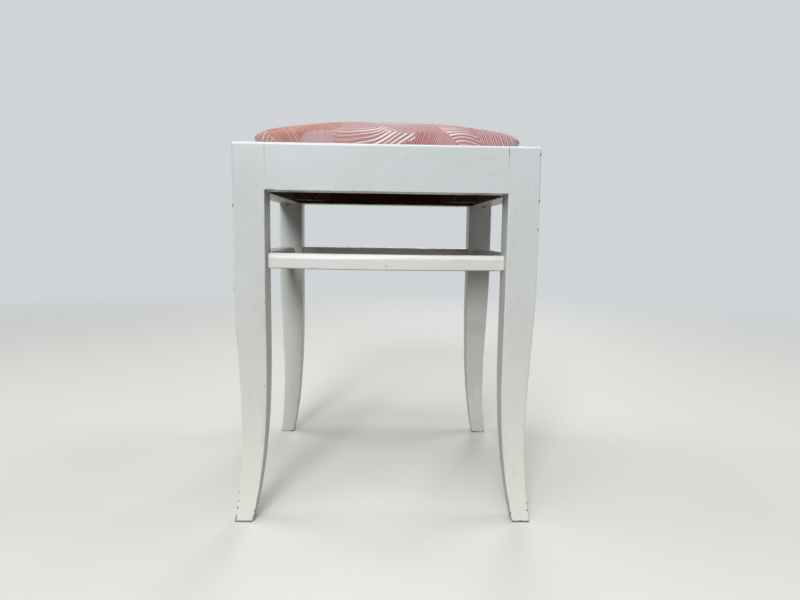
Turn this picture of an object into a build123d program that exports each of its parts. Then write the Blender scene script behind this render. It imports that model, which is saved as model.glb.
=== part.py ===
from build123d import *
import os
from math import atan, cos, pi, sin

# An upholstered stool: four sabre legs, rebated seat rails, bowed stretchers and a seat that lifts out.
# The origin is on the floor under the middle of the stool, +Z is up and the front faces -Y. Millimetres.

# Frame
frame_width = 360.0          # left to right, across the outer faces of the legs
frame_depth = 360.0          # front to back, across the outer faces of the legs
rim_height = 458.0           # floor to the top of the legs and rails
rim_rounding = 3.0           # on the outer top edges of legs and rails
glue_gap = 0.1               # between a tenon and its mortise, on every side
tip_gap = 0.5                # between a tenon's tip and the bottom of its mortise
tenon_wall = 2.5             # wood left between two mortises that meet in a leg

# Legs
leg_section = 37.5           # square head of a leg
waist_height = 100.0         # narrowest inward point of the outer face
waist_inset = 6.0            # outer face at the waist, inwards from the head
waist_section = 28.0
foot_section = 22.0
foot_kick = 2.5              # outer face at the floor, outwards from the head
outer_toe = 0.17             # outward run for each unit of drop at the foot, outer face
inner_toe = 0.235            # the same on the inner face
leg_arris = 1.6              # rounding of the long edges and round the sole
head_arris = 2.4             # rounding of the outer corner of the head

# Seat rails
rail_height = 55.0
rail_step = 5.5              # rail's inner face, outwards from the leg's inner face
ledge_width = 10.0           # rebate that carries the seat
rebate_depth = 20.0
rail_arris = 1.0
rail_tenon_thickness = 9.0
rail_tenon_setback = 12.5    # outer face of the rail to the middle of its tenon
rail_tenon_shoulder = 9.0    # rail height left above and below the tenon

# Stretchers
stretcher_top_height = 330.0
stretcher_height = 18.5
stretcher_thickness = 14.0
stretcher_setback = 12.0     # outer face of the leg to the stretcher's end
stretcher_bow = 16.0         # how far the middle stands out from the ends
stretcher_crest = 6.0        # rounding of the top edges
stretcher_arris = 1.5
stretcher_tenon_thickness = 7.0
stretcher_tenon_shoulder = 4.0
sabre_drop = 5.0             # straight part of the leg left below the stretcher

# Corner blocks and their screws
block_leg = 55.0             # along each rail
block_height = 26.0
block_below_ledge = 4.0
block_leg_gap = 0.5
block_screw_offset = 30.0    # from the corner of the rails, along the rail
block_screw_grip = 12.0      # wood under the screw head
block_screw_spread = 12.0    # one screw passes this much above the other
screw_length = 25.0
screw_radius = 1.9
screw_tip = 4.0
screw_head_radius = 3.8
screw_slot_width = 0.9
screw_slot_depth = 1.0
screw_gap = 0.05
screw_sink_radius = 4.4

# Loose seat
seat_clearance = 0.8         # seat to rim, all round
seat_rest_gap = 0.3          # turned-under cover to the ledge
seat_corner_radius = 12.0
cover_thickness = 1.2
cover_hem = 24.0             # turned under the seat frame
cushion_side = 3.0           # upright edge of the cushion above the rim
cushion_rise = 38.0          # from that edge to the middle of the crown
cushion_shoulder = 27.0      # radius where the side turns into the crown
crown_headroom = 5.5         # height of the shoulders' own crown over the dome, at the middle
dome_radius = 780.0          # dome over the whole cushion, which draws its corners down
wadding_thickness = 6.0
seat_member_width = 40.0
seat_member_thickness = 16.5
webbing_width = 50.0
webbing_thickness = 1.2
webbing_inset = 10.0         # strap end to the outer face of the seat frame
webbing_ramp = 6.0           # length over which a strap climbs onto the others
webbing_edge_gap = 4.0
hessian_thickness = 0.8
hessian_inset = 2.0          # inside the wadding
cloth_thickness = 0.6
cloth_leg_gap = 1.5          # bottom cloth to the inner faces of the legs

# Tacks
tack_head_radius = 3.2
tack_head_height = 0.7
tack_dome_radius = 1.9       # flatter middle of the head
tack_dome_height = 0.55
tack_shank_radius = 0.8
tack_length = 8.0
tack_point = 3.2
tack_gap = 0.05
webbing_tack_inset = 7.0     # from the end of the strap
webbing_tack_spacing = 16.0
webbing_tacks_per_end = 3
bottom_tack_inset = 4.0      # from the edge of the bottom cloth
bottom_tack_corner = 16.0    # from the corner of the bottom cloth
bottom_tacks_per_side = 6

# Places worked out from the sizes above
half_x = frame_width / 2
half_y = frame_depth / 2
inner_x = half_x - leg_section
inner_y = half_y - leg_section
rail_thickness = leg_section - rail_step
rim_width = rail_thickness - ledge_width
rail_bottom = rim_height - rail_height
ledge_height = rim_height - rebate_depth
rail_face_x = half_x - rail_thickness
rail_face_y = half_y - rail_thickness
stretcher_bottom = stretcher_top_height - stretcher_height
sabre_start = stretcher_bottom - sabre_drop
block_top = ledge_height - block_below_ledge
block_bottom = block_top - block_height
screw_levels = [block_bottom + (block_height + side * block_screw_spread) / 2 for side in (-1, 1)]
seat_half_x = half_x - rim_width - seat_clearance
seat_half_y = half_y - rim_width - seat_clearance
seat_bottom = ledge_height + seat_rest_gap
member_bottom = seat_bottom + cover_thickness
member_top = member_bottom + seat_member_thickness
member_half_x = seat_half_x - cover_thickness
member_half_y = seat_half_y - cover_thickness
member_inner_x = member_half_x - seat_member_width
member_inner_y = member_half_y - seat_member_width
webbing_top = member_top + 2 * webbing_thickness
hessian_top = webbing_top + hessian_thickness
cushion_side_top = rim_height + cushion_side
pad_inset = cover_thickness + wadding_thickness
cloth_half_x = inner_x - cloth_leg_gap
cloth_half_y = inner_y - cloth_leg_gap
strap_pitch_x = member_inner_x - webbing_ramp - webbing_edge_gap - webbing_width / 2
strap_pitch_y = member_inner_y - webbing_ramp - webbing_edge_gap - webbing_width / 2
strap_end_x = member_half_x - webbing_inset
strap_end_y = member_half_y - webbing_inset
tack_hole_radius = tack_shank_radius + tack_gap


def tenon(thickness, shoulder, setback, bottom, height):
    """Length into the leg, thickness, height, setback and level of a tenon, the last two to its middle."""
    length = leg_section - setback - thickness / 2 - tenon_wall
    return length, thickness, height - 2 * shoulder, setback, bottom + height / 2


rail_tenon = tenon(
    rail_tenon_thickness,
    rail_tenon_shoulder,
    rail_tenon_setback,
    rail_bottom,
    rail_height,
)
stretcher_tenon = tenon(
    stretcher_tenon_thickness,
    stretcher_tenon_shoulder,
    stretcher_setback + stretcher_thickness / 2,
    stretcher_bottom,
    stretcher_height,
)


def tenon_along_x(size, end, gap=0.0, tip=0.0, mode=Mode.ADD):
    """A tenon, or its mortise, at one end of a bar that runs left to right along the back."""
    length, thickness, height, setback, level = size
    outwards = Align.MIN if end > 0 else Align.MAX
    with Locations((end * inner_x, half_y - setback, level)):
        Box(
            length + tip,
            thickness + 2 * gap,
            height + 2 * gap,
            align=(outwards, Align.CENTER, Align.CENTER),
            mode=mode,
        )


def tenon_along_y(size, end, gap=0.0, tip=0.0, mode=Mode.ADD):
    """A tenon, or its mortise, at one end of a bar that runs front to back along the right side."""
    length, thickness, height, setback, level = size
    outwards = Align.MIN if end > 0 else Align.MAX
    with Locations((half_x - setback, end * inner_y, level)):
        Box(
            thickness + 2 * gap,
            length + tip,
            height + 2 * gap,
            align=(Align.CENTER, outwards, Align.CENTER),
            mode=mode,
        )


def sabre_outline(plane, half):
    """Leg seen square on, from the floor to the underside of the rail."""
    waist_outer = half - waist_inset
    foot_outer = half + foot_kick
    with BuildSketch(plane) as outline:
        with BuildLine():
            outer_edge = Line((half, rail_bottom), (half, sabre_start))
            outer_sweep = Spline(
                outer_edge @ 1,
                (waist_outer, waist_height),
                (foot_outer, 0),
                tangents=((0, -1), (outer_toe, -1)),
            )
            sole = Line(outer_sweep @ 1, (foot_outer - foot_section, 0))
            inner_sweep = Spline(
                sole @ 1,
                (waist_outer - waist_section, waist_height),
                (half - leg_section, sabre_start),
                tangents=((-inner_toe, 1), (0, 1)),
            )
            inner_edge = Line(inner_sweep @ 1, (half - leg_section, rail_bottom))
            Line(inner_edge @ 1, outer_edge @ 0)
        make_face()
    return outline.sketch


def rail_section(plane, half):
    """Seat rail in section: upright outer face, rim, rebate and inner face."""
    with BuildSketch(plane) as section:
        with BuildLine():
            Polyline(
                (half, rail_bottom),
                (half, rim_height),
                (half - rim_width, rim_height),
                (half - rim_width, ledge_height),
                (half - rail_thickness, ledge_height),
                (half - rail_thickness, rail_bottom),
                close=True,
            )
        make_face()
    return section.sketch


def screw_holes_along_y(radius, start, depth):
    """Round holes for the back rail's screws, from start towards the back."""
    for side in (-1, 1):
        place = Location((side * (rail_face_x - block_screw_offset), start, screw_levels[0]), (-90, 0, 0))
        with Locations(place):
            Cylinder(radius, depth, align=(Align.CENTER, Align.CENTER, Align.MIN), mode=Mode.SUBTRACT)


def screw_holes_along_x(radius, start, depth):
    """Round holes for the right rail's screws, from start towards the right."""
    for side in (-1, 1):
        place = Location((start, side * (rail_face_y - block_screw_offset), screw_levels[1]), (0, 90, 0))
        with Locations(place):
            Cylinder(radius, depth, align=(Align.CENTER, Align.CENTER, Align.MIN), mode=Mode.SUBTRACT)


# Legs: the back right one is made, the others are its mirror images

with BuildPart() as leg_head:
    with BuildSketch(Plane.XY.offset(rail_bottom)):
        with Locations((half_x, half_y)):
            Rectangle(leg_section, leg_section, align=(Align.MAX, Align.MAX))
    extrude(amount=rail_height)
    outer_corner = (half_x, half_y, rim_height)
    fillet(leg_head.edges().filter_by(Axis.Z).sort_by_distance(outer_corner)[0], head_arris)
    top_edges = leg_head.faces().sort_by(Axis.Z)[-1].edges()
    fillet(top_edges.sort_by_distance(outer_corner)[:3], rim_rounding)

with BuildPart() as back_right_leg:
    extrude(sabre_outline(Plane.XZ, half_x), amount=frame_depth, both=True)
    extrude(sabre_outline(Plane.YZ, half_y), amount=frame_width, both=True, mode=Mode.INTERSECT)
    long_edges = back_right_leg.edges().filter_by(Plane.XY, reverse=True)
    sole_edges = back_right_leg.faces().sort_by(Axis.Z)[0].edges()
    fillet(long_edges + sole_edges, leg_arris)
    add(leg_head.part)
    with BuildSketch(Plane.XY.offset(ledge_height)):
        with Locations((half_x - rim_width, half_y - rim_width)):
            Rectangle(leg_section, leg_section, align=(Align.MAX, Align.MAX))
    extrude(amount=rebate_depth, mode=Mode.SUBTRACT)
    for joint in (rail_tenon, stretcher_tenon):
        tenon_along_x(joint, 1, glue_gap, tip_gap, Mode.SUBTRACT)
        tenon_along_y(joint, 1, glue_gap, tip_gap, Mode.SUBTRACT)

with BuildPart() as back_left_leg:
    mirror(back_right_leg.part, about=Plane.YZ)

with BuildPart() as front_right_leg:
    mirror(back_right_leg.part, about=Plane.XZ)

with BuildPart() as front_left_leg:
    mirror(back_left_leg.part, about=Plane.XZ)

# Seat rails, flush with the legs outside and rebated for the seat inside

with BuildPart() as back_rail:
    extrude(rail_section(Plane.YZ, half_y), amount=inner_x, both=True)
    long_edges = back_rail.edges().filter_by(Axis.X)
    fillet(long_edges.sort_by_distance((0, half_y, rim_height))[0], rim_rounding)
    fillet(back_rail.edges().filter_by(Axis.X).group_by(Axis.Z)[0], rail_arris)
    for end in (-1, 1):
        tenon_along_x(rail_tenon, end)
    screw_holes_along_y(screw_radius + screw_gap, rail_face_y, screw_length - block_screw_grip + tip_gap)

with BuildPart() as front_rail:
    mirror(back_rail.part, about=Plane.XZ)

with BuildPart() as right_rail:
    extrude(rail_section(Plane.XZ, half_x), amount=inner_y, both=True)
    long_edges = right_rail.edges().filter_by(Axis.Y)
    fillet(long_edges.sort_by_distance((half_x, 0, rim_height))[0], rim_rounding)
    fillet(right_rail.edges().filter_by(Axis.Y).group_by(Axis.Z)[0], rail_arris)
    for end in (-1, 1):
        tenon_along_y(rail_tenon, end)
    screw_holes_along_x(screw_radius + screw_gap, rail_face_x, screw_length - block_screw_grip + tip_gap)

with BuildPart() as left_rail:
    mirror(right_rail.part, about=Plane.YZ)


# Stretchers, bowed outwards between the legs, with rounded tops


def stretcher_plan(plane, half_length, half):
    """Bowed bar seen from above, running along the plane's x axis."""
    outer = half - stretcher_setback
    inner = outer - stretcher_thickness
    with BuildSketch(plane) as plan:
        with BuildLine():
            outer_crest = (0, outer + stretcher_bow)
            outer_arc = ThreePointArc((-half_length, outer), outer_crest, (half_length, outer))
            end_line = Line(outer_arc @ 1, (half_length, inner))
            inner_arc = ThreePointArc(end_line @ 1, (0, inner + stretcher_bow), (-half_length, inner))
            Line(inner_arc @ 1, outer_arc @ 0)
        make_face()
    return plan.sketch


def round_stretcher(bar):
    """Round the long edges: wide on top, slight underneath."""
    fillet(bar.faces().sort_by(Axis.Z)[-1].edges().filter_by(GeomType.CIRCLE), stretcher_crest)
    fillet(bar.faces().sort_by(Axis.Z)[0].edges().filter_by(GeomType.CIRCLE), stretcher_arris)


with BuildPart() as back_stretcher:
    extrude(stretcher_plan(Plane.XY.offset(stretcher_bottom), inner_x, half_y), amount=stretcher_height)
    round_stretcher(back_stretcher)
    for end in (-1, 1):
        tenon_along_x(stretcher_tenon, end)

with BuildPart() as front_stretcher:
    mirror(back_stretcher.part, about=Plane.XZ)

right_side_plane = Plane(origin=(0, 0, stretcher_bottom), x_dir=(0, -1, 0), z_dir=(0, 0, 1))

with BuildPart() as right_stretcher:
    extrude(stretcher_plan(right_side_plane, inner_y, half_x), amount=stretcher_height)
    round_stretcher(right_stretcher)
    for end in (-1, 1):
        tenon_along_y(stretcher_tenon, end)

with BuildPart() as left_stretcher:
    mirror(right_stretcher.part, about=Plane.YZ)

# Corner blocks, glued across the inside corners of the rails and screwed to them

with BuildPart() as back_right_corner_block:
    with BuildSketch(Plane.XY.offset(block_bottom)):
        with BuildLine():
            Polyline(
                (rail_face_x, rail_face_y),
                (rail_face_x - block_leg, rail_face_y),
                (rail_face_x, rail_face_y - block_leg),
                close=True,
            )
        make_face()
        with Locations((inner_x - block_leg_gap, inner_y - block_leg_gap)):
            Rectangle(leg_section, leg_section, align=(Align.MIN, Align.MIN), mode=Mode.SUBTRACT)
    extrude(amount=block_height)
    screw_holes_along_y(screw_radius + screw_gap, rail_face_y - block_screw_grip, block_screw_grip)
    screw_holes_along_y(screw_sink_radius, rail_face_y - block_leg, block_leg - block_screw_grip)
    screw_holes_along_x(screw_radius + screw_gap, rail_face_x - block_screw_grip, block_screw_grip)
    screw_holes_along_x(screw_sink_radius, rail_face_x - block_leg, block_leg - block_screw_grip)

with BuildPart() as back_left_corner_block:
    mirror(back_right_corner_block.part, about=Plane.YZ)

with BuildPart() as front_right_corner_block:
    mirror(back_right_corner_block.part, about=Plane.XZ)

with BuildPart() as front_left_corner_block:
    mirror(back_left_corner_block.part, about=Plane.XZ)

with BuildPart() as block_screw:
    with BuildSketch(Plane.XZ):
        with BuildLine():
            Polyline(
                (0, 0),
                (0, screw_length),
                (screw_radius, screw_length - screw_tip),
                (screw_radius, 0),
                (screw_head_radius, 0),
                (screw_head_radius, -screw_slot_depth),
                (0, -2 * screw_slot_depth),
                close=True,
            )
        make_face()
    revolve(axis=Axis.Z)
    with Locations((0, 0, -screw_slot_depth)):
        Box(
            2 * screw_head_radius,
            screw_slot_width,
            screw_slot_depth,
            align=(Align.CENTER, Align.CENTER, Align.MAX),
            mode=Mode.SUBTRACT,
        )

with BuildPart() as corner_block_screws:
    screw_x = rail_face_x - block_screw_offset
    screw_y = rail_face_y - block_screw_offset
    seat_x = rail_face_x - block_screw_grip
    seat_y = rail_face_y - block_screw_grip
    for side_x in (-1, 1):
        for side_y in (-1, 1):
            head_to_back = (side_x * screw_x, side_y * seat_y, screw_levels[0])
            head_to_side = (side_x * seat_x, side_y * screw_y, screw_levels[1])
            into_back = Location(head_to_back, (-90 * side_y, 0, 0))
            into_side = Location(head_to_side, (0, 90 * side_x, 0))
            with Locations(into_back, into_side):
                add(block_screw.part)


# Tacks: domed heads, pointed shanks


def tack_profile(up):
    """Half section of a tack whose head sits on z = 0; up is +1 with the head on top and -1 turned over."""
    with BuildSketch(Plane.XZ) as profile:
        with BuildLine():
            Polyline(
                (0, up * tack_head_height),
                (tack_dome_radius, up * tack_dome_height),
                (tack_head_radius, 0),
                (tack_shank_radius, 0),
                (tack_shank_radius, up * (tack_point - tack_length)),
                (0, up * -tack_length),
                close=True,
            )
        make_face()
    return profile.sketch


with BuildPart() as upright_tack:
    revolve(tack_profile(1), axis=Axis.Z)

with BuildPart() as turned_tack:
    revolve(tack_profile(-1), axis=Axis.Z)

webbing_tack_level = member_top + webbing_thickness
webbing_tack_x = strap_end_x - webbing_tack_inset
webbing_tack_y = strap_end_y - webbing_tack_inset
webbing_tack_places = []
for strap in (-1, 0, 1):
    for i in range(webbing_tacks_per_end):
        offset = (i - (webbing_tacks_per_end - 1) / 2) * webbing_tack_spacing
        for end in (-1, 1):
            webbing_tack_places += [
                (strap * strap_pitch_x + offset, end * webbing_tack_y, webbing_tack_level),
                (end * webbing_tack_x, strap * strap_pitch_y + offset, webbing_tack_level),
            ]

bottom_tack_level = seat_bottom - cloth_thickness
bottom_tack_places = []
for i in range(bottom_tacks_per_side):
    share = 2 * i / (bottom_tacks_per_side - 1) - 1
    along_x = share * (cloth_half_x - bottom_tack_corner)
    along_y = share * (cloth_half_y - bottom_tack_corner)
    for side in (-1, 1):
        bottom_tack_places += [
            (along_x, side * (cloth_half_y - bottom_tack_inset), bottom_tack_level),
            (side * (cloth_half_x - bottom_tack_inset), along_y, bottom_tack_level),
        ]

with BuildPart() as webbing_tacks:
    with Locations(*webbing_tack_places):
        add(upright_tack.part)

with BuildPart() as bottom_tacks:
    with Locations(*bottom_tack_places):
        add(turned_tack.part)

with BuildPart() as tack_holes:
    with Locations(*webbing_tack_places):
        Cylinder(tack_hole_radius, tack_length, align=(Align.CENTER, Align.CENTER, Align.MAX))
    with Locations(*bottom_tack_places):
        Cylinder(tack_hole_radius, tack_length, align=(Align.CENTER, Align.CENTER, Align.MIN))


# Loose seat's wooden frame, half-lapped at the corners


def trim_seat_member():
    """Cut a member to the seat frame's rounded outline and drill it for the tacks."""
    with BuildSketch(Plane.XY.offset(member_bottom)) as outline:
        RectangleRounded(2 * member_half_x, 2 * member_half_y, seat_corner_radius - cover_thickness)
    extrude(outline.sketch, amount=seat_member_thickness, mode=Mode.INTERSECT)
    add(tack_holes.part, mode=Mode.SUBTRACT)


with BuildPart() as seat_frame_back:
    with Locations((0, member_half_y, member_bottom)):
        Box(
            2 * member_half_x,
            seat_member_width,
            seat_member_thickness,
            align=(Align.CENTER, Align.MAX, Align.MIN),
        )
    for side in (-1, 1):
        with Locations((side * member_half_x, member_half_y, member_bottom)):
            Box(
                seat_member_width,
                seat_member_width,
                seat_member_thickness / 2,
                align=(Align.MAX if side > 0 else Align.MIN, Align.MAX, Align.MIN),
                mode=Mode.SUBTRACT,
            )
    trim_seat_member()

with BuildPart() as seat_frame_front:
    mirror(seat_frame_back.part, about=Plane.XZ)

with BuildPart() as seat_frame_right:
    with Locations((member_half_x, 0, member_bottom)):
        Box(
            seat_member_width,
            2 * member_half_y,
            seat_member_thickness,
            align=(Align.MAX, Align.CENTER, Align.MIN),
        )
    for side in (-1, 1):
        with Locations((member_half_x, side * member_half_y, member_top)):
            Box(
                seat_member_width,
                seat_member_width,
                seat_member_thickness / 2,
                align=(Align.MAX, Align.MAX if side > 0 else Align.MIN, Align.MAX),
                mode=Mode.SUBTRACT,
            )
    trim_seat_member()

with BuildPart() as seat_frame_left:
    mirror(seat_frame_right.part, about=Plane.YZ)

# Webbing and hessian over the seat frame

with BuildPart() as webbing_front_to_back:
    with BuildSketch(Plane.XY.offset(member_top)):
        with Locations(*[(strap * strap_pitch_x, 0) for strap in (-1, 0, 1)]):
            Rectangle(webbing_width, 2 * strap_end_y)
    extrude(amount=webbing_thickness)
    add(tack_holes.part, mode=Mode.SUBTRACT)


def climbing_strap(plane):
    """Strap in section along its length: tacked down at the ends, over the other straps between."""
    low = member_top
    high = member_top + webbing_thickness
    crest_x = member_inner_x - webbing_ramp
    with BuildSketch(plane) as section:
        with BuildLine():
            Polyline(
                (-strap_end_x, low),
                (-member_inner_x, low),
                (-crest_x, high),
                (crest_x, high),
                (member_inner_x, low),
                (strap_end_x, low),
                (strap_end_x, low + webbing_thickness),
                (member_inner_x, low + webbing_thickness),
                (crest_x, high + webbing_thickness),
                (-crest_x, high + webbing_thickness),
                (-member_inner_x, low + webbing_thickness),
                (-strap_end_x, low + webbing_thickness),
                close=True,
            )
        make_face()
    return section.sketch


with BuildPart() as webbing_side_to_side:
    for strap in (-1, 0, 1):
        strap_plane = Plane.XZ.offset(strap * strap_pitch_y)
        extrude(climbing_strap(strap_plane), amount=webbing_width / 2, both=True)
    add(tack_holes.part, mode=Mode.SUBTRACT)

with BuildPart() as hessian:
    with BuildSketch(Plane.XY.offset(webbing_top)):
        Rectangle(
            2 * (member_half_x - wadding_thickness - hessian_inset),
            2 * (member_half_y - wadding_thickness - hessian_inset),
        )
    extrude(amount=hessian_thickness)


# Crowned cushion: layers of one form, each inset from the one outside it


def cushion_section(plane, half, inset, bottom):
    """Upright sides that turn over rounded shoulders into a crown, inset from the outside of the cover."""
    side = half - inset
    shoulder = cushion_shoulder - inset
    rise = cushion_rise + crown_headroom - inset
    slope = 2 * atan((rise - shoulder) / (side - shoulder))
    knee = (side - shoulder * (1 - sin(slope)), cushion_side_top + shoulder * cos(slope))
    half_turn = (pi / 2 - slope) / 2
    middle = (side - shoulder * (1 - cos(half_turn)), cushion_side_top + shoulder * sin(half_turn))
    with BuildSketch(plane) as section:
        with BuildLine():
            Polyline((-side, cushion_side_top), (-side, bottom), (side, bottom), (side, cushion_side_top))
            ThreePointArc((side, cushion_side_top), middle, knee)
            ThreePointArc(knee, (0, cushion_side_top + rise), (-knee[0], knee[1]))
            ThreePointArc((-knee[0], knee[1]), (-middle[0], middle[1]), (-side, cushion_side_top))
        make_face()
    return section.sketch


def crowned_form(inset, bottom):
    """Cushion inset from the outside of the cover: four shoulders under a shallow dome, flat below."""
    across = cushion_section(Plane.XZ, seat_half_x, inset, bottom)
    along = cushion_section(Plane.YZ, seat_half_y, inset, bottom)
    extrude(across, amount=frame_depth, both=True)
    extrude(along, amount=frame_width, both=True, mode=Mode.INTERSECT)
    with BuildSketch(Plane.XY.offset(bottom)) as outline:
        RectangleRounded(2 * (seat_half_x - inset), 2 * (seat_half_y - inset), seat_corner_radius - inset)
    extrude(outline.sketch, amount=rim_height, mode=Mode.INTERSECT)
    with Locations((0, 0, cushion_side_top + cushion_rise - dome_radius)):
        Sphere(dome_radius - inset, mode=Mode.INTERSECT)


with BuildPart() as cover_lining:
    crowned_form(cover_thickness, member_bottom)

with BuildPart() as pad_envelope:
    crowned_form(pad_inset, member_bottom)

with BuildPart() as seat_cover:
    crowned_form(0, seat_bottom)
    add(cover_lining.part, mode=Mode.SUBTRACT)
    with BuildSketch(Plane.XY.offset(seat_bottom)):
        Rectangle(2 * (seat_half_x - cover_hem), 2 * (seat_half_y - cover_hem))
    extrude(amount=cover_thickness, mode=Mode.SUBTRACT)
    add(tack_holes.part, mode=Mode.SUBTRACT)

with BuildPart() as wadding:
    crowned_form(cover_thickness, member_top)
    add(pad_envelope.part, mode=Mode.SUBTRACT)

with BuildPart() as stuffing:
    crowned_form(pad_inset, hessian_top)

with BuildPart() as bottom_cloth:
    with BuildSketch(Plane.XY.offset(seat_bottom - cloth_thickness)):
        Rectangle(2 * cloth_half_x, 2 * cloth_half_y)
    extrude(amount=cloth_thickness)
    add(tack_holes.part, mode=Mode.SUBTRACT)

# Every piece, by name

pieces = {
    "front_left_leg": front_left_leg,
    "front_right_leg": front_right_leg,
    "back_left_leg": back_left_leg,
    "back_right_leg": back_right_leg,
    "front_rail": front_rail,
    "back_rail": back_rail,
    "left_rail": left_rail,
    "right_rail": right_rail,
    "front_stretcher": front_stretcher,
    "back_stretcher": back_stretcher,
    "left_stretcher": left_stretcher,
    "right_stretcher": right_stretcher,
    "front_left_corner_block": front_left_corner_block,
    "front_right_corner_block": front_right_corner_block,
    "back_left_corner_block": back_left_corner_block,
    "back_right_corner_block": back_right_corner_block,
    "corner_block_screws": corner_block_screws,
    "seat_frame_front": seat_frame_front,
    "seat_frame_back": seat_frame_back,
    "seat_frame_left": seat_frame_left,
    "seat_frame_right": seat_frame_right,
    "webbing_front_to_back": webbing_front_to_back,
    "webbing_side_to_side": webbing_side_to_side,
    "webbing_tacks": webbing_tacks,
    "hessian": hessian,
    "stuffing": stuffing,
    "wadding": wadding,
    "seat_cover": seat_cover,
    "bottom_cloth": bottom_cloth,
    "bottom_tacks": bottom_tacks,
}

os.makedirs("parts", exist_ok=True)
for name, piece in pieces.items():
    piece.part.label = name
    export_step(piece.part, f"parts/{name}.step")
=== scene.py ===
"""A painted stool with sabre legs and a crowned, upholstered drop-in seat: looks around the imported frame."""
import math

import bpy
import numpy as np
from mathutils import Matrix, Vector


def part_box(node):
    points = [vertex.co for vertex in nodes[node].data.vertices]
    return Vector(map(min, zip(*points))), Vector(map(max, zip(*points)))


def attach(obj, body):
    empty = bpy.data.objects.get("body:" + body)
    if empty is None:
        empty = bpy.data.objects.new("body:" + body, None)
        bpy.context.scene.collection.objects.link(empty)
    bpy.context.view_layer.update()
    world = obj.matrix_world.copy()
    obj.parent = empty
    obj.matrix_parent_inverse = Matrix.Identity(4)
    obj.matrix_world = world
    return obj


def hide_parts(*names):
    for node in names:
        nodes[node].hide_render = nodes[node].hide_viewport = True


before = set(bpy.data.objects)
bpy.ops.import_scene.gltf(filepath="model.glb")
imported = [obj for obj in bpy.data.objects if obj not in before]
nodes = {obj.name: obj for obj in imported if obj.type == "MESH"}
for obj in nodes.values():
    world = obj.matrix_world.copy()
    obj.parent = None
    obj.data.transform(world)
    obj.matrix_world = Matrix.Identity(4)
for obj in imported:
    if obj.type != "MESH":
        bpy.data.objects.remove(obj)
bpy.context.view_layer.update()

# Sizes read from the frame, in metres
MM = 0.001
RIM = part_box("front_rail")[1].z
RAIL_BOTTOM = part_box("front_rail")[0].z
HALF = -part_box("front_rail")[0].y
LEG_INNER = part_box("front_right_leg")[0].x
SEAT_LOW, SEAT_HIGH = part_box("seat_cover")
SEAT_HALF = SEAT_HIGH.x
SEAT_BOTTOM = SEAT_LOW.z
CLOTH_LOW, CLOTH_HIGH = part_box("bottom_cloth")
HESSIAN_LOW, HESSIAN_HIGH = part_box("hessian")
STRAP_LOW, STRAP_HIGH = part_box("webbing_front_to_back")
X, Y, Z = 0, 1, 2


# Shader graphs


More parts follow.
